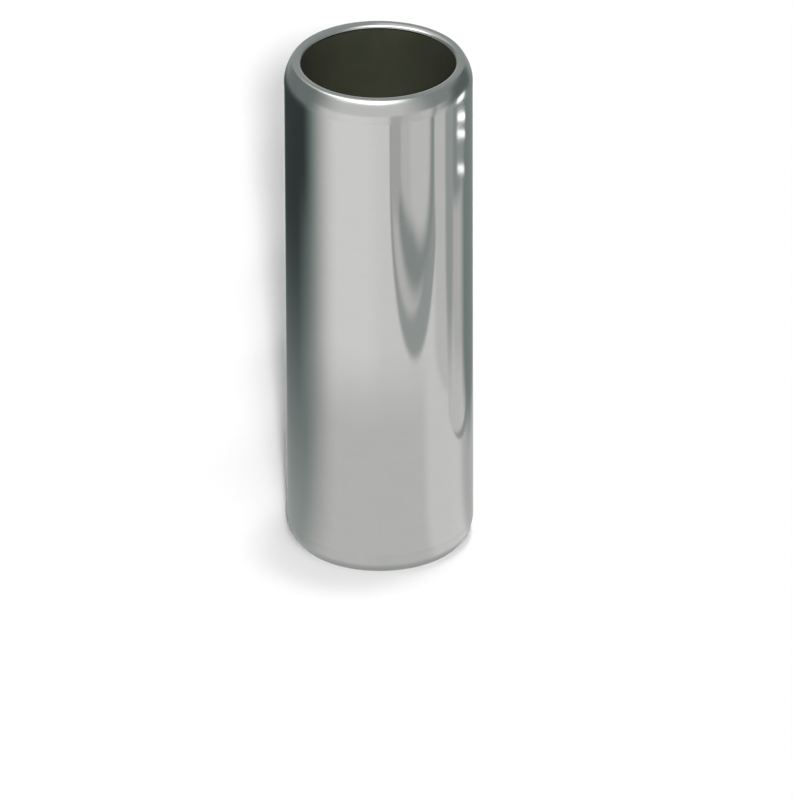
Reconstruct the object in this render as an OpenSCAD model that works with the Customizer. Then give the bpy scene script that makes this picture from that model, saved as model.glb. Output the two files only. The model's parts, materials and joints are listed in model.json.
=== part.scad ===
// Gudgeon pin: one hollow steel pin, turned, hardened and ground, standing on its end.
// The pin's axis is Z, and the origin is the centre of the lower end face. All sizes are in mm.

/* [Pin] */
// Outside diameter of the ground bearing surface
pin_d = 16; // [10:0.5:30]
// Length over the two end faces
pin_len = 45.5; // [20:0.5:90]

/* [Bore] */
// Thickness of the wall between the bearing surface and the bore
wall = 1.5; // [1.3:0.1:4.5]
// Radius of the rounded edge at each mouth of the bore
mouth_r = 0.4; // [0.05:0.05:0.55]

/* [Ends] */
// Length along the pin of the rounded lead-in at each end
lead_in_len = 2; // [0.9:0.1:9]
// Radial width of the lead-in, from the bearing surface to the flat ring that is left on the end face
lead_in_w = 0.8; // [0.3:0.05:0.95]
// Radius that blends the lead-in into the flat ring
end_edge_r = 0.2; // [0.05:0.05:0.7]

/* [Hidden] */
$fn = 128;

// How far a cut runs past the surface that it opens
overrun = 1;

pin_r = pin_d / 2;
bore_r = pin_r - wall;

// Outer edge of the flat ring, where the end's outer corner begins
face_r = pin_r - lead_in_w;

// The lead-in is one arc that leaves the bearing surface as a tangent and runs into the blend as a tangent.
lead_in_r = (pow(lead_in_w, 2) + pow(lead_in_len - end_edge_r, 2) - pow(end_edge_r, 2))
    / (2 * (lead_in_w - end_edge_r));
lead_in_centre = [pin_r - lead_in_r, lead_in_len];
blend_centre = [face_r, end_edge_r];

// From the lead-in's centre through the blend's centre to past the point where the two arcs meet
blend_ray = (blend_centre - lead_in_centre) / norm(blend_centre - lead_in_centre);
ray_end = lead_in_centre + blend_ray * (lead_in_r + overrun);

// Section of the metal that stays between the flat ring and the bearing surface, at the lower end
module rounded_corner() {
    translate(blend_centre) circle(r = end_edge_r);
    intersection() {
        translate(lead_in_centre) circle(r = lead_in_r);
        polygon([
            lead_in_centre,
            ray_end,
            [pin_r + overrun, ray_end[1]],
            [pin_r + overrun, lead_in_len]
        ]);
    }
}

// Section of what is turned away outside the flat ring, at the lower end
module lead_in_cut() {
    difference() {
        translate([face_r, -overrun]) square([lead_in_w + overrun, lead_in_len + overrun]);
        rounded_corner();
    }
}

// Section of what is rounded off at the lower mouth of the bore
module mouth_cut() {
    difference() {
        translate([bore_r - overrun, -overrun]) square(mouth_r + overrun);
        translate([bore_r + mouth_r, mouth_r]) circle(r = mouth_r);
    }
}

module end_cuts() {
    lead_in_cut();
    mouth_cut();
}

// Half section of the pin: X is the radius and Y runs along the axis
module pin_section() {
    difference() {
        translate([bore_r, 0]) square([wall, pin_len]);
        end_cuts();
        translate([0, pin_len]) mirror([0, 1]) end_cuts();
    }
}

module gudgeon_pin() {
    color("silver") rotate_extrude() pin_section();
}

gudgeon_pin();
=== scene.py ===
import json
import math
from typing import NamedTuple

import bmesh
import bpy
from mathutils import Matrix, Vector


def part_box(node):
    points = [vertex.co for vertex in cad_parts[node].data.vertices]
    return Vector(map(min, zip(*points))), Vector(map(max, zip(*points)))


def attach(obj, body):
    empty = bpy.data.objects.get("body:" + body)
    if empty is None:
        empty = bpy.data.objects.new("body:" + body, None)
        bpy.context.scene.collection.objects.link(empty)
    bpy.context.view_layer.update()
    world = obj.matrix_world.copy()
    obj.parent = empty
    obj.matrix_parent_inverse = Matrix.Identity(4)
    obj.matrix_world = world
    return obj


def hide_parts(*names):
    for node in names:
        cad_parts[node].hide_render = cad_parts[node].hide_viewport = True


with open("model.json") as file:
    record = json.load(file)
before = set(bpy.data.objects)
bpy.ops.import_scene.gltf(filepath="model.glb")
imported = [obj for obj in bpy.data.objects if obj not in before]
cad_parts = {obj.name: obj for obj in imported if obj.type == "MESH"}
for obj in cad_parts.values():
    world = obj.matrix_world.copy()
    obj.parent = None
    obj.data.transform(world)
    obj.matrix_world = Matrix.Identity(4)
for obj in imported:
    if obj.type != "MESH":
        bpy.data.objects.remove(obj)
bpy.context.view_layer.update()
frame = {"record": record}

MM = 0.001

# Sizes of the pin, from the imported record
mounts = {mount["name"]: mount for mount in frame["record"]["mounts"]}


def mount_size(name, key):
    return mounts[name]["dims"][key] * MM


PIN_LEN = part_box("gudgeon_pin")[1].z
PIN_R = mount_size("bearing_surface", "r_mm")
LEAD_IN_LEN = (PIN_LEN - mount_size("bearing_surface", "length_mm")) / 2
BORE_R = mount_size("through_bore", "r_mm")
MOUTH_R = (PIN_LEN - mount_size("through_bore", "length_mm")) / 2
RING_INNER_R = BORE_R + MOUTH_R

# The end face's mount is in the middle of the flat ring
RING_OUTER_R = 2 * mounts["upper_end_face"]["pos_m"][0] - RING_INNER_R

# Radius between the lead-in and the end face
END_EDGE_R = 0.2 * MM

# Fineness of the turned mesh
SEGMENTS = 256
BEARING_RINGS = 22
BORE_RINGS = 22
LEAD_IN_STEPS = 28
END_EDGE_STEPS = 8
MOUTH_STEPS = 14

# Where the mesh's map has its seam, in degrees: at the back, at +Y
MAP_SEAM = 90

BEARING, END, BORE = range(3)


# The turned pin

def round_corner(centre, radius, start, end, steps):
    """Points of a round corner, between two ways that the surface faces: 0 degrees is outwards, 90 up."""
    angles = [math.radians(start + (end - start) * step / steps) for step in range(steps + 1)]
    return [(centre[0] + radius * math.cos(a), centre[1] + radius * math.sin(a)) for a in angles]


def upper_end_profile():
    """Radius and height round the upper end, from the bearing surface over the rim and into the bore."""
    width = PIN_R - RING_OUTER_R
    length = LEAD_IN_LEN - END_EDGE_R
    lead_in_r = (width ** 2 + length ** 2 - END_EDGE_R ** 2) / (2 * (width - END_EDGE_R))
    lead_in_centre = (PIN_R - lead_in_r, PIN_LEN - LEAD_IN_LEN)
    edge_centre = (RING_OUTER_R, PIN_LEN - END_EDGE_R)
    mouth_centre = (RING_INNER_R, PIN_LEN - MOUTH_R)
    across = edge_centre[0] - lead_in_centre[0]
    up = edge_centre[1] - lead_in_centre[1]
    meets_at = math.degrees(math.atan2(up, across))
    return [
        *round_corner(lead_in_centre, lead_in_r, 0, meets_at, LEAD_IN_STEPS),
        *round_corner(edge_centre, END_EDGE_R, meets_at, 90, END_EDGE_STEPS)[1:],
        *round_corner(mouth_centre, MOUTH_R, 90, 180, MOUTH_STEPS),
    ]


def between(start, end, count):
    """Points that divide a straight stretch of the profile, without its two ends."""
    return [tuple(Vector(start).lerp(Vector(end), i / (count + 1))) for i in range(1, count + 1)]


def pin_profile():
    """The closed outline of the pin's half section, each point with its surface."""
    upper = upper_end_profile()
    lower = [(r, PIN_LEN - z) for r, z in reversed(upper)]
    bearing = between(lower[-1], upper[0], BEARING_RINGS)
    bore = between(upper[-1], lower[0], BORE_RINGS)
    stretches = [(bearing, BEARING), (upper, END), (bore, BORE), (lower, END)]
    return [(r, z, surface) for points, surface in stretches for r, z in points]


def lengths_along(profile):
    """How far along the closed profile each point is. The last length leads back to the first point."""
    lengths = [0.0]
    for (r0, z0, _), (r1, z1, _) in zip(profile, profile[1:] + profile[:1]):
        lengths.append(lengths[-1] + math.hypot(r1 - r0, z1 - z0))
    return lengths


def turned_pin(materials):
    """The profile turned about Z. Its map runs once round the pin and once along the profile."""
    profile = pin_profile()
    rings = len(profile)
    lengths = lengths_along(profile)
    turns = [math.radians(MAP_SEAM) + math.tau * i / SEGMENTS for i in range(SEGMENTS)]

    made = bmesh.new()
    grid = [[made.verts.new((r * math.cos(t), r * math.sin(t), z)) for t in turns] for r, z, _ in profile]
    uv_layer = made.loops.layers.uv.new("OFBake")
    for i in range(rings):
        nearer, further = grid[i], grid[(i + 1) % rings]
        here, there = profile[i][2], profile[(i + 1) % rings][2]
        for j in range(SEGMENTS):
            k = (j + 1) % SEGMENTS
            face = made.faces.new((nearer[j], nearer[k], further[k], further[j]))
            face.smooth = True
            face.material_index = there if here == END else here
            corners = ((j, i), (j + 1, i), (j + 1, i + 1), (j, i + 1))
            for loop, (turn, step) in zip(face.loops, corners):
                loop[uv_layer].uv = (turn / SEGMENTS, lengths[step] / lengths[-1])

    mesh = bpy.data.meshes.new("turned_gudgeon_pin")
    made.to_mesh(mesh)
    made.free()
    for material in materials:
        mesh.materials.append(material)
    pin = bpy.data.objects.new("turned_gudgeon_pin", mesh)
    bpy.context.scene.collection.objects.link(pin)
    return pin


# Shader nodes

def put(tree, kind, inputs=None, **settings):
    """A new node with its settings. An input is a plain value, or an output that is linked to it."""
    made = tree.nodes.new(kind)
    for key, value in settings.items():
        setattr(made, key, value)
    for key, value in (inputs or {}).items():
        if isinstance(value, bpy.types.NodeSocket):
            tree.links.new(value, made.inputs[key])
        else:
            made.inputs[key].default_value = value
    return made


def calc(tree, operation, a, b=0.0):
    """One step of arithmetic on two values, or on the first where the operation takes one."""
    return put(tree, "ShaderNodeMath", {0: a, 1: b}, operation=operation).outputs[0]


def product(tree, a, b):
    return calc(tree, "MULTIPLY", a, b)


def ramped(tree, value, low, high, to_low=0.0, to_high=1.0):
    """The value, eased from one range to another and held at its ends."""
    limits = {"Value": value, "From Min": low, "From Max": high, "To Min": to_low, "To Max": to_high}
    return put(tree, "ShaderNodeMapRange", limits, interpolation_type="SMOOTHSTEP").outputs["Result"]


def place_in_mm(tree):
    """A point's place in its object's own frame, in millimetres. The pin's frame and the table's are one."""
    place = put(tree, "ShaderNodeTexCoord").outputs["Object"]
    return put(tree, "ShaderNodeVectorMath", {0: place, "Scale": 1 / MM}, operation="SCALE").outputs[0]


def turn_from_front(tree, x, y):
    """How far a point lies round the pin from the camera's side, in radians to the right."""
    return calc(tree, "ARCTAN2", x, product(tree, y, -1.0))


def blended(tree, mask, first, second):
    """A colour that goes from the first to the second as the mask goes from 0 to 1."""
    mix = put(tree, "ShaderNodeMix", {"Factor": mask}, data_type="RGBA")
    mix.inputs["A"].default_value = (*first, 1)
    mix.inputs["B"].default_value = (*second, 1)
    return mix.outputs["Result"]


# Effects that the metals share

# Three sets of hairlines: the slant of each in degrees, and where its noise starts
HAIRLINE_SETS = ((8, 3.0), (-17, 41.0), (64, 87.0))
HAIRLINE_STRETCH = (0.09, 1.3, 1)


def new_group(name, inputs, output):
    """An empty shader group with number inputs and one number output."""
    tree = bpy.data.node_groups.new(name, "ShaderNodeTree")
    for label, default in inputs.items():
        socket = tree.interface.new_socket(label, in_out="INPUT", socket_type="NodeSocketFloat")
        socket.default_value = default
    tree.interface.new_socket(output, in_out="OUTPUT", socket_type="NodeSocketFloat")
    return tree, put(tree, "NodeGroupInput").outputs


def close_group(tree, value):
    tree.links.new(value, put(tree, "NodeGroupOutput").inputs[0])
    return tree


def lay_lines_group():
    """Fine lines that a tool leaves, drawn out round the pin or along it by their two scales."""
    tree, given = new_group("Lay lines", {"Round scale": 1.0, "Along scale": 1.0}, "Lines")
    round_scale = given["Round scale"]
    scales = {"X": round_scale, "Y": round_scale, "Z": given["Along scale"]}
    stretch = put(tree, "ShaderNodeCombineXYZ", scales).outputs[0]
    stretched = put(tree, "ShaderNodeVectorMath", {0: place_in_mm(tree), 1: stretch}, operation="MULTIPLY")
    look = {"Vector": stretched.outputs[0], "Scale": 1.0, "Detail": 4.0, "Roughness": 0.65}
    noise = put(tree, "ShaderNodeTexNoise", look)
    return close_group(tree, noise.outputs["Fac"])


def smudges_group():
    """Soft cloudy patches, such as an oil film or the marks of handling."""
    tree, given = new_group("Smudges", {"Scale": 0.2, "Low": 0.4, "High": 0.7}, "Mask")
    look = {"Vector": place_in_mm(tree), "Scale": given["Scale"], "Detail": 5.0, "Roughness": 0.6}
    noise = put(tree, "ShaderNodeTexNoise", {**look, "Distortion": 0.8})
    return close_group(tree, ramped(tree, noise.outputs["Fac"], given["Low"], given["High"]))


def hairlines_group():
    """Sparse hairline scratches that cross each other at a few slants."""
    tree, given = new_group("Hairlines", {"Width": 0.012, "Amount": 0.5}, "Mask")
    x, y, z = put(tree, "ShaderNodeSeparateXYZ", {0: place_in_mm(tree)}).outputs
    # The surface is unrolled from the front, so that its seam is at the back.
    round_pin = product(tree, turn_from_front(tree, x, y), PIN_R / MM)
    unrolled = put(tree, "ShaderNodeCombineXYZ", {"X": round_pin, "Y": z}).outputs[0]
    total = 0.0
    for slant, offset in HAIRLINE_SETS:
        turn = {"Location": (offset, 0, 0), "Rotation": (0, 0, math.radians(slant))}
        turned = put(tree, "ShaderNodeMapping", {"Vector": unrolled, "Scale": HAIRLINE_STRETCH, **turn})
        look = {"Vector": turned.outputs[0], "Scale": 1.0, "Detail": 1.0, "Roughness": 0.4}
        noise = put(tree, "ShaderNodeTexNoise", look).outputs["Fac"]
        off_centre = calc(tree, "ABSOLUTE", calc(tree, "SUBTRACT", noise, 0.5))
        total = calc(tree, "ADD", ramped(tree, off_centre, 0.0, given["Width"], 1.0, 0.0), total)
    # They show only in patches.
    patches = put(tree, "ShaderNodeTexNoise", {"Vector": place_in_mm(tree), "Scale": 0.35, "Detail": 2.0})
    shown = ramped(tree, patches.outputs["Fac"], 0.45, 0.65)
    limited = calc(tree, "MINIMUM", product(tree, total, shown), 1.0)
    return close_group(tree, product(tree, limited, given["Amount"]))


lay_lines = lay_lines_group()
smudges = smudges_group()
hairlines = hairlines_group()


def effect(tree, group, **values):
    """A group placed in a material with its own values. Underscores in their names stand for spaces."""
    placed = put(tree, "ShaderNodeGroup", node_tree=group)
    for key, value in values.items():
        placed.inputs[key.replace("_", " ")].default_value = value
    return placed.outputs[0]


# The pin's three finishes

# Two colours of each finish, and its least and greatest roughness
GROUND_COLOURS = ((0.575, 0.58, 0.565), (0.55, 0.555, 0.54))
GROUND_ROUGHNESS = (0.05, 0.075)
END_COLOURS = ((0.565, 0.57, 0.555), (0.53, 0.54, 0.525))
END_ROUGHNESS = (0.15, 0.22)
BORE_COLOURS = ((0.034, 0.038, 0.025), (0.046, 0.048, 0.033))
BORE_ROUGHNESS = (0.36, 0.50)

# How much rougher a hairline is
HAIRLINE_ROUGHNESS = 0.05

# Shares of the lay and the oil film in the ground finish's tone
LAY_SHARE = 0.6
FILM_SHARE = 0.4


def steel(name, metallic=1.0):
    """A new metal with a Principled shader, its node tree and the shader."""
    material = bpy.data.materials.new(name)
    material.use_nodes = True
    tree = material.node_tree
    shader = tree.nodes["Principled BSDF"]
    shader.inputs["Metallic"].default_value = metallic
    return material, tree, shader


def bump(tree, shader, height, strength, depth):
    """Relief on the shader's normal. The depth is how deep the height's full range would be."""
    made = put(tree, "ShaderNodeBump", {"Height": height, "Strength": strength, "Distance": depth})
    tree.links.new(made.outputs["Normal"], shader.inputs["Normal"])


def ground_bearing_steel():
    """The outside: ground and superfinished, with the lay round the pin, an oil film and hairlines."""
    material, tree, shader = steel("ground_bearing_steel")
    lines = effect(tree, lay_lines, Round_scale=0.04, Along_scale=7.0)
    film = effect(tree, smudges, Scale=0.5, Low=0.3, High=0.8)
    scratches = effect(tree, hairlines, Width=0.010, Amount=0.6)
    tone = calc(tree, "ADD", product(tree, lines, LAY_SHARE), product(tree, film, FILM_SHARE))
    tree.links.new(blended(tree, tone, *GROUND_COLOURS), shader.inputs["Base Color"])
    polish = ramped(tree, tone, 0.2, 0.8, *GROUND_ROUGHNESS)
    dulled = calc(tree, "ADD", polish, product(tree, scratches, HAIRLINE_ROUGHNESS))
    tree.links.new(dulled, shader.inputs["Roughness"])
    relief = calc(tree, "SUBTRACT", lines, scratches)
    bump(tree, shader, relief, strength=0.04, depth=0.002 * MM)
    return material


def tumbled_end_steel():
    """The lead-ins, end rings and mouths: turned, then tumbled, so a little duller."""
    material, tree, shader = steel("tumbled_end_steel")
    lines = effect(tree, lay_lines, Round_scale=0.15, Along_scale=9.0)
    film = effect(tree, smudges, Scale=0.3, Low=0.35, High=0.7)
    tree.links.new(blended(tree, film, *END_COLOURS), shader.inputs["Base Color"])
    tree.links.new(ramped(tree, film, 0.0, 1.0, *END_ROUGHNESS), shader.inputs["Roughness"])
    bump(tree, shader, lines, strength=0.1, depth=0.004 * MM)
    return material


def drawn_bore_steel():
    """The bore: left as drawn, dark with scale and oil, with lines along it and a mottled tone."""
    material, tree, shader = steel("drawn_bore_steel", metallic=0.2)
    lines = effect(tree, lay_lines, Round_scale=6.0, Along_scale=0.12)
    mottle = effect(tree, smudges, Scale=0.5, Low=0.3, High=0.75)
    mean = product(tree, calc(tree, "ADD", lines, mottle), 0.5)
    tree.links.new(blended(tree, mean, *BORE_COLOURS), shader.inputs["Base Color"])
    tree.links.new(ramped(tree, mottle, 0.0, 1.0, *BORE_ROUGHNESS), shader.inputs["Roughness"])
    bump(tree, shader, lines, strength=0.12, depth=0.01 * MM)
    return material


# The floor

FLOOR_HALF = 2.0
FLOOR_TONE = 0.92
FLOOR_DROP = 0.01 * MM
TABLE_RISE = 0.1 * MM


def flat_card(name, height, material):
    """A square of the floor's size at a height, which isn't part of the object."""
    half = FLOOR_HALF
    corners = [(-half, -half, height), (half, -half, height), (half, half, height), (-half, half, height)]
    mesh = bpy.data.meshes.new(name)
    mesh.from_pydata(corners, [], [(0, 1, 2, 3)])
    mesh.materials.append(material)
    card = bpy.data.objects.new(name, mesh)
    bpy.context.scene.collection.objects.link(card)
    return card


def stage_material(name):
    material = bpy.data.materials.new(name)
    material.use_nodes = True
    material.node_tree.nodes.clear()
    return material, material.node_tree


def pale_floor():
    material, tree = stage_material("pale_floor")
    shader = put(tree, "ShaderNodeBsdfDiffuse", {"Color": (FLOOR_TONE, FLOOR_TONE, FLOOR_TONE, 1)})
    put(tree, "ShaderNodeOutputMaterial", {"Surface": shader.outputs[0]})
    flat_card("floor", -FLOOR_DROP, material)


# The table that the metal mirrors: azimuths in degrees to the right, distances in millimetres, 1 is white

class Band(NamedTuple):
    """A stretch of a value, and how far each of its soft edges reaches to both sides of its limit."""
    low: float
    high: float
    low_edge: float
    high_edge: float


class Card(NamedTuple):
    """A strip of card that points at the pin and ends in a round tip, which begins at the shoulder."""
    azimuth: float
    half_width: float
    tip: float
    shoulder: float
    softness: float
    level: float


class SmallLight(NamedTuple):
    """A small light over the table. Its distances are those at its middle azimuth."""
    azimuths: Band
    distances: Band
    level: float


# The bare table: pale far away, and darker near the pin with painted shade of the pin, lighter at its right
# and darker towards the back
NEAR_SHADE_LEVEL = 0.77
NEAR_RIGHT = Band(58, 122, 8, 8)
NEAR_RIGHT_LEVEL = 0.92
NEAR_BACK = (106, 142)
NEAR_BACK_LEVEL = 0.58
NEAR_TO_FAR = (24, 42)
FAR_TURN = (-16, 8)
FAR_LEVELS = (1.02, 0.95)

# Cards on the table, in the order that they are laid
CARDS = {
    "right_sheet": Card(120, 48, tip=27, shoulder=40, softness=0.10, level=0.79),
    "slim_card_edge": Card(119, 21, tip=20.0, shoulder=26, softness=0.05, level=0.45),
    "slim_card": Card(113, 20, tip=21.4, shoulder=27, softness=0.08, level=0.80),
    "slim_card_shade": Card(113, 11, tip=34, shoulder=46, softness=0.40, level=0.68),
    "light_stand": Card(109, 15, tip=64.5, shoulder=70, softness=0.45, level=0.40),
    "thin_bar": Card(96.5, 7, tip=36, shoulder=62, softness=0.40, level=0.49),
    "wide_bar": Card(146, 23, tip=21, shoulder=40, softness=0.32, level=0.30),
    "arch_outside": Card(44.5, 31, tip=37.7, shoulder=70, softness=0.04, level=0.48),
    "arch_pale_step": Card(40, 24, tip=45.8, shoulder=70, softness=0.06, level=0.74),
    "arch_dark_step": Card(46, 26.5, tip=49.8, shoulder=80, softness=0.10, level=0.40),
    "arch_inside": Card(44, 22, tip=62.5, shoulder=81, softness=0.16, level=0.74),
    "arch_middle": Card(52, 13, tip=59.5, shoulder=72, softness=0.30, level=0.82),
    "arch_left_band": Card(20.5, 6.5, tip=64, shoulder=75, softness=0.30, level=0.60),
    "arch_right_gap": Card(77.5, 5.5, tip=57, shoulder=71, softness=0.30, level=0.79),
}

# A dark flag along the left: its edge, how its level falls with the distance, and a sheen on it
FLAG_EDGE = (-108, -50)
FLAG_STRETCH = (-30, 66)
FLAG_LEVELS = (0.6, 0.06)
SHEEN_AZIMUTHS = Band(-111, -90, 10, 14)
SHEEN_DISTANCES = Band(28, 64, 10, 8)
SHEEN_LEVEL = 0.09

# The table right behind the pin: its edge, where its level changes, and its two levels
BEHIND_EDGE = (158, 175)
BEHIND_STRETCH = (8, 40)
BEHIND_LEVELS = (0.62, 0.38)

# Dim walls round the table, which both the table's far side and the room show
LEFT_LEVEL = 0.26
RIGHT_LEVEL = 0.175
RIGHT_FRONT_LEVEL = 0.36
BACK_LEVEL = 0.42

# Where the table fades into the walls, by azimuth to either side and by distance, and where they change
WALLS_EDGE = (64, 96)
WALLS_START = (92, 200)
WALLS_TURN = (-20, 20)
WALLS_RIGHT_FRONT = Band(60, 96, 10, 8)
WALLS_BACK_EDGE = (136, 156)

# A narrow light that runs straight back from the pin
STRIP_LIGHT_EDGE = (167, 178)
STRIP_LIGHT_REACH = Band(24, 170, 24, 60)
STRIP_LIGHT_LEVEL = 1.1

# Small lights at the right
SMALL_LIGHTS = {
    "highest_light": SmallLight(Band(109, 123, 4, 4), Band(98, 160, 8, 8), level=2.8),
    "high_light": SmallLight(Band(113, 131, 4, 4), Band(79.1, 80.8, 0.4, 0.4), level=3.0),
    "middle_light": SmallLight(Band(112, 131, 4, 4), Band(75.8, 77.0, 0.4, 0.4), level=2.6),
    "low_light": SmallLight(Band(113, 129, 4, 4), Band(69.0, 70.4, 0.4, 0.4), level=2.2),
}

# Each small light comes this much nearer per degree, so that it lies level in the mirror
LIGHT_SLANT = 0.06

# Painted shade on the table, by the distance from the axis in millimetres: a contact shadow under the pin's
# edge, and shade under its bore
CONTACT_SHADOW_EDGE = (7.5, 8.3)
CONTACT_SHADOW_LEVEL = 0.50
BORE_SHADE_EDGE = (6.7, 7.2)
BORE_SHADE_LEVEL = 0.03

# The tint of what is dim, and the level from which all is white
DIM_TINT = (0.78, 1.0, 0.98)
UNTINTED_LEVEL = 0.7


def window(tree, value, band):
    """A mask of 1 inside a band, which eases off over its soft edges."""
    rise = ramped(tree, value, band.low - band.low_edge, band.low + band.low_edge)
    fall = ramped(tree, value, band.high - band.high_edge, band.high + band.high_edge, 1.0, 0.0)
    return product(tree, rise, fall)


def laid_over(tree, level, mask, other):
    """A level with another one laid over it where the mask is 1."""
    levels = {"Factor": mask, "A": level, "B": other}
    return put(tree, "ShaderNodeMix", levels, data_type="FLOAT").outputs["Result"]


def dim_tint(tree, level):
    """White where the level is full, and a cool tint where it is dim."""
    return blended(tree, ramped(tree, level, 0.0, UNTINTED_LEVEL), DIM_TINT, (1, 1, 1))


def degrees(tree, angle):
    return put(tree, "ShaderNodeMath", {0: angle}, operation="DEGREES").outputs[0]


def table_place(tree):
    """Azimuth and length of the mirrored ray to a point of the table, and how far that is from the axis."""
    place = place_in_mm(tree)
    x, y, _ = put(tree, "ShaderNodeSeparateXYZ", {0: place}).outputs
    away = put(tree, "ShaderNodeVectorMath", {0: place}, operation="LENGTH").outputs["Value"]
    turn = turn_from_front(tree, x, y)
    half_turn = product(tree, turn, 0.5)
    # The ray leaves the pin at half its own azimuth, so the point lags a little behind that azimuth.
    ahead = product(tree, calc(tree, "DIVIDE", PIN_R / MM, away), calc(tree, "SINE", half_turn))
    azimuth = calc(tree, "ADD", turn, calc(tree, "ARCSINE", ahead))
    start = product(tree, calc(tree, "COSINE", half_turn), PIN_R / MM)
    return degrees(tree, azimuth), calc(tree, "SUBTRACT", away, start), away


def bare_table(tree, azimuth, distance):
    # Painted shade of the pin on the table near it, which gives way to the far level
    near = laid_over(tree, NEAR_SHADE_LEVEL, window(tree, azimuth, NEAR_RIGHT), NEAR_RIGHT_LEVEL)
    near = laid_over(tree, near, ramped(tree, azimuth, *NEAR_BACK), NEAR_BACK_LEVEL)
    far = ramped(tree, azimuth, *FAR_TURN, *FAR_LEVELS)
    return laid_over(tree, near, ramped(tree, distance, *NEAR_TO_FAR), far)


def with_card(tree, level, azimuth, distance, card):
    across = calc(tree, "DIVIDE", calc(tree, "SUBTRACT", azimuth, card.azimuth), card.half_width)
    short = calc(tree, "MAXIMUM", calc(tree, "SUBTRACT", card.shoulder, distance), 0.0)
    along = calc(tree, "DIVIDE", short, card.shoulder - card.tip)
    place = put(tree, "ShaderNodeCombineXYZ", {"X": across, "Y": along}).outputs[0]
    from_middle = put(tree, "ShaderNodeVectorMath", {0: place}, operation="LENGTH").outputs["Value"]
    mask = ramped(tree, from_middle, 1 - card.softness, 1 + card.softness, 1.0, 0.0)
    return laid_over(tree, level, mask, card.level)


def with_flag(tree, level, azimuth, distance):
    dark = ramped(tree, distance, *FLAG_STRETCH, *FLAG_LEVELS)
    level = laid_over(tree, level, ramped(tree, azimuth, *FLAG_EDGE, 1.0, 0.0), dark)
    sheen = product(tree, window(tree, azimuth, SHEEN_AZIMUTHS), window(tree, distance, SHEEN_DISTANCES))
    return calc(tree, "ADD", level, product(tree, sheen, SHEEN_LEVEL))


def with_walls(tree, level, azimuth, distance):
    """A level with the table behind the pin, the walls round it and the strip light laid over it."""
    aside = calc(tree, "ABSOLUTE", azimuth)
    behind = ramped(tree, distance, *BEHIND_STRETCH, *BEHIND_LEVELS)
    level = laid_over(tree, level, ramped(tree, aside, *BEHIND_EDGE), behind)
    walls = ramped(tree, azimuth, *WALLS_TURN, LEFT_LEVEL, RIGHT_LEVEL)
    walls = laid_over(tree, walls, window(tree, azimuth, WALLS_RIGHT_FRONT), RIGHT_FRONT_LEVEL)
    walls = laid_over(tree, walls, ramped(tree, aside, *WALLS_BACK_EDGE), BACK_LEVEL)
    far_side = product(tree, ramped(tree, aside, *WALLS_EDGE), ramped(tree, distance, *WALLS_START))
    level = laid_over(tree, level, far_side, walls)
    reach = window(tree, distance, STRIP_LIGHT_REACH)
    strip_light = product(tree, ramped(tree, aside, *STRIP_LIGHT_EDGE), reach)
    return laid_over(tree, level, strip_light, STRIP_LIGHT_LEVEL)


def with_small_light(tree, level, azimuth, distance, light):
    off_middle = calc(tree, "SUBTRACT", azimuth, (light.azimuths.low + light.azimuths.high) / 2)
    slanted = calc(tree, "ADD", distance, product(tree, off_middle, LIGHT_SLANT))
    mask = product(tree, window(tree, azimuth, light.azimuths), window(tree, slanted, light.distances))
    return laid_over(tree, level, mask, light.level)


def mirrored_table():
    """What the metal mirrors in place of the floor: a pale table with cards, a flag, walls and lights, with
    painted shade near and under the pin.
    """
    material, tree = stage_material("mirrored_table")
    azimuth, distance, away = table_place(tree)
    level = bare_table(tree, azimuth, distance)
    for card in CARDS.values():
        level = with_card(tree, level, azimuth, distance, card)
    level = with_flag(tree, level, azimuth, distance)
    level = with_walls(tree, level, azimuth, distance)
    for light in SMALL_LIGHTS.values():
        level = with_small_light(tree, level, azimuth, distance, light)
    # Painted shade: a contact shadow under the pin's edge, and near-black shade under its bore
    level = laid_over(tree, level, ramped(tree, away, *CONTACT_SHADOW_EDGE, 1.0, 0.0), CONTACT_SHADOW_LEVEL)
    level = laid_over(tree, level, ramped(tree, away, *BORE_SHADE_EDGE, 1.0, 0.0), BORE_SHADE_LEVEL)
    # The metal mirrors the table for the camera, and doesn't throw its light back on the floor.
    path = put(tree, "ShaderNodeLightPath").outputs
    mirrored = product(tree, level, calc(tree, "LESS_THAN", path["Diffuse Depth"], 0.5))
    glow = put(tree, "ShaderNodeEmission", {"Color": dim_tint(tree, level), "Strength": mirrored})
    put(tree, "ShaderNodeOutputMaterial", {"Surface": glow.outputs[0]})
    table = flat_card("mirrored_table", TABLE_RISE, material)
    for ray in ("camera", "diffuse", "transmission", "shadow", "volume_scatter"):
        setattr(table, "visible_" + ray, False)


# The room. Heights are those of a direction of length 1.

ROOM_TURN = (-0.4, 0.4)

# A darker patch low at the right
LOW_PATCH_AZIMUTHS = Band(99, 142, 8, 8)
LOW_PATCH_TOP = (0.10, 0.35)

FRONT_AZIMUTHS = Band(-66, 48, 24, 26)
FRONT_LEVEL = 0.83
BACK_EDGE = (136, 152)

# A panel straight behind the pin, bright low down
PANEL_EDGE = (160, 174)
PANEL_TOP = (0.15, 0.4)
PANEL_LEVELS = (0.80, 0.42)

CEILING_START = (0.5, 0.7)
CEILING_TURN = (20, 70)
CEILING_LEVELS = (0.87, 0.42)

SOFT_BOX_HEIGHTS = Band(0.61, 0.90, 0.04, 0.05)
SOFT_BOX_AZIMUTHS = Band(-94, 26, 10, 30)
SOFT_BOX_LEVEL = 3.3

# The room's light on dull surfaces, and its white for the camera
FILL_LEVEL = 0.05
WHITE_LEVEL = 1.0


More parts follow.
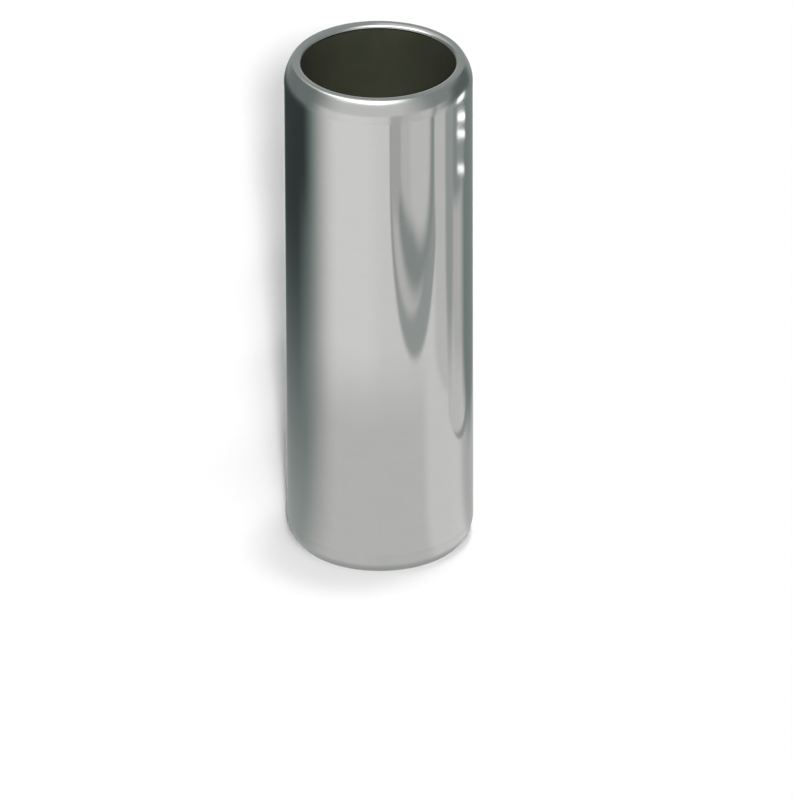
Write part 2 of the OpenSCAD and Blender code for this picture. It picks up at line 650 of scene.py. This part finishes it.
def room_level(tree):
    """What the metal mirrors above the table: dim walls, a ceiling and a soft box in front."""
    towards = put(tree, "ShaderNodeTexCoord").outputs["Generated"]
    x, y, z = put(tree, "ShaderNodeSeparateXYZ", {0: towards}).outputs
    azimuth = degrees(tree, turn_from_front(tree, x, y))
    aside = calc(tree, "ABSOLUTE", azimuth)
    level = ramped(tree, x, *ROOM_TURN, LEFT_LEVEL, RIGHT_FRONT_LEVEL)
    low = ramped(tree, z, *LOW_PATCH_TOP, 1.0, 0.0)
    low_patch = product(tree, window(tree, azimuth, LOW_PATCH_AZIMUTHS), low)
    level = laid_over(tree, level, low_patch, RIGHT_LEVEL)
    level = laid_over(tree, level, window(tree, azimuth, FRONT_AZIMUTHS), FRONT_LEVEL)
    level = laid_over(tree, level, ramped(tree, aside, *BACK_EDGE), BACK_LEVEL)
    panel = ramped(tree, z, *PANEL_TOP, *PANEL_LEVELS)
    level = laid_over(tree, level, ramped(tree, aside, *PANEL_EDGE), panel)
    ceiling = ramped(tree, azimuth, *CEILING_TURN, *CEILING_LEVELS)
    level = laid_over(tree, level, ramped(tree, z, *CEILING_START), ceiling)
    soft_box = product(tree, window(tree, z, SOFT_BOX_HEIGHTS), window(tree, azimuth, SOFT_BOX_AZIMUTHS))
    return laid_over(tree, level, soft_box, SOFT_BOX_LEVEL)


def background(tree, colour, strength):
    return put(tree, "ShaderNodeBackground", {"Color": colour, "Strength": strength}).outputs[0]


def one_or_other(tree, mask, first, second):
    """The first shader where the mask is 0, and the second where it is 1."""
    return put(tree, "ShaderNodeMixShader", {0: mask, 1: first, 2: second}).outputs[0]


def studio_room():
    """White for the camera and soft for dull surfaces. Only the metal shows the room's walls."""
    world = bpy.data.worlds.new("studio_room")
    bpy.context.scene.world = world
    world.use_nodes = True
    tree = world.node_tree
    tree.nodes.clear()
    level = room_level(tree)
    path = put(tree, "ShaderNodeLightPath").outputs
    mirrored = background(tree, dim_tint(tree, level), level)
    fill = background(tree, (1, 1, 1, 1), FILL_LEVEL)
    white = background(tree, (1, 1, 1, 1), WHITE_LEVEL)
    off_dull = calc(tree, "GREATER_THAN", path["Diffuse Depth"], 0.5)
    lit = one_or_other(tree, off_dull, mirrored, fill)
    seen = one_or_other(tree, path["Is Camera Ray"], lit, white)
    put(tree, "ShaderNodeOutputWorld", {"Surface": seen})


# The lamps

class Lamp(NamedTuple):
    """A soft lamp far away, with its share of the floor's white. Its size is its width in degrees."""
    azimuth: float
    elevation: float
    share: float
    size: float


# The lowest one stands beside the camera.
LAMPS = {
    "low_lamp": Lamp(2.1, 28.5, share=0.40, size=2.8),
    "raised_lamp": Lamp(4, 34, share=0.065, size=3),
    "middle_lamp": Lamp(6, 45, share=0.07, size=3.5),
    "upper_lamp": Lamp(9, 58, share=0.09, size=4),
    "high_lamp": Lamp(27, 74, share=0.09, size=9),
    "top_lamp": Lamp(136, 85, share=0.24, size=6),
}


def direction(azimuth, elevation):
    """A unit vector towards a place round the pin. Azimuth 0 is the camera's side and 90 the right."""
    a, e = math.radians(azimuth), math.radians(elevation)
    return Vector((math.sin(a) * math.cos(e), -math.cos(a) * math.cos(e), math.sin(e)))


def put_up_lamp(name, lamp):
    """A lamp that lights the floor by its share. Metal doesn't mirror it."""
    light = bpy.data.lights.new(name, "SUN")
    light.energy = lamp.share * math.pi / (FLOOR_TONE * math.sin(math.radians(lamp.elevation)))
    light.angle = math.radians(lamp.size)
    made = bpy.data.objects.new(name, light)
    made.rotation_mode = "QUATERNION"
    made.rotation_quaternion = direction(lamp.azimuth, lamp.elevation).to_track_quat("Z", "Y")
    made.visible_glossy = False
    bpy.context.scene.collection.objects.link(made)


# The camera, from the photograph's frame

FRAME_PX = (794, 800)
PIN_MIDDLE_PX = (379.7, 296.85)
PX_PER_MM = 11.733
CAMERA_ELEVATION = 28.5
CAMERA_DISTANCE = 1.28
CAMERA_ROLL = -0.2
CAMERA_REACH = 10.0
SENSOR = 36.0


def photo_camera():
    lens = bpy.data.cameras.new("photo_camera")
    lens.sensor_width = SENSOR
    seen_height = FRAME_PX[1] / PX_PER_MM * MM
    lens.lens = SENSOR * CAMERA_DISTANCE / seen_height
    lens.clip_end = CAMERA_REACH
    camera = bpy.data.objects.new("photo_camera", lens)
    bpy.context.scene.collection.objects.link(camera)
    middle = Vector((0, 0, PIN_LEN / 2))
    towards = direction(0, CAMERA_ELEVATION)
    right = Vector((1, 0, 0))
    up = towards.cross(right)
    off_right = (FRAME_PX[0] / 2 - PIN_MIDDLE_PX[0]) / PX_PER_MM * MM
    off_down = (FRAME_PX[1] / 2 - PIN_MIDDLE_PX[1]) / PX_PER_MM * MM
    aim = middle + right * off_right - up * off_down
    camera.location = middle + towards * CAMERA_DISTANCE
    looking = (aim - camera.location).to_track_quat("-Z", "Y").to_matrix()
    roll = Matrix.Rotation(math.radians(CAMERA_ROLL), 3, "Z")
    camera.rotation_euler = (looking @ roll).to_euler()
    bpy.context.scene.camera = camera


photo_camera()
pin = turned_pin([ground_bearing_steel(), tumbled_end_steel(), drawn_bore_steel()])
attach(pin, "root")
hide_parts("gudgeon_pin")

pale_floor()
mirrored_table()
studio_room()
for lamp_name, lamp in LAMPS.items():
    put_up_lamp(lamp_name, lamp)

bpy.context.scene.view_settings.view_transform = "Standard"
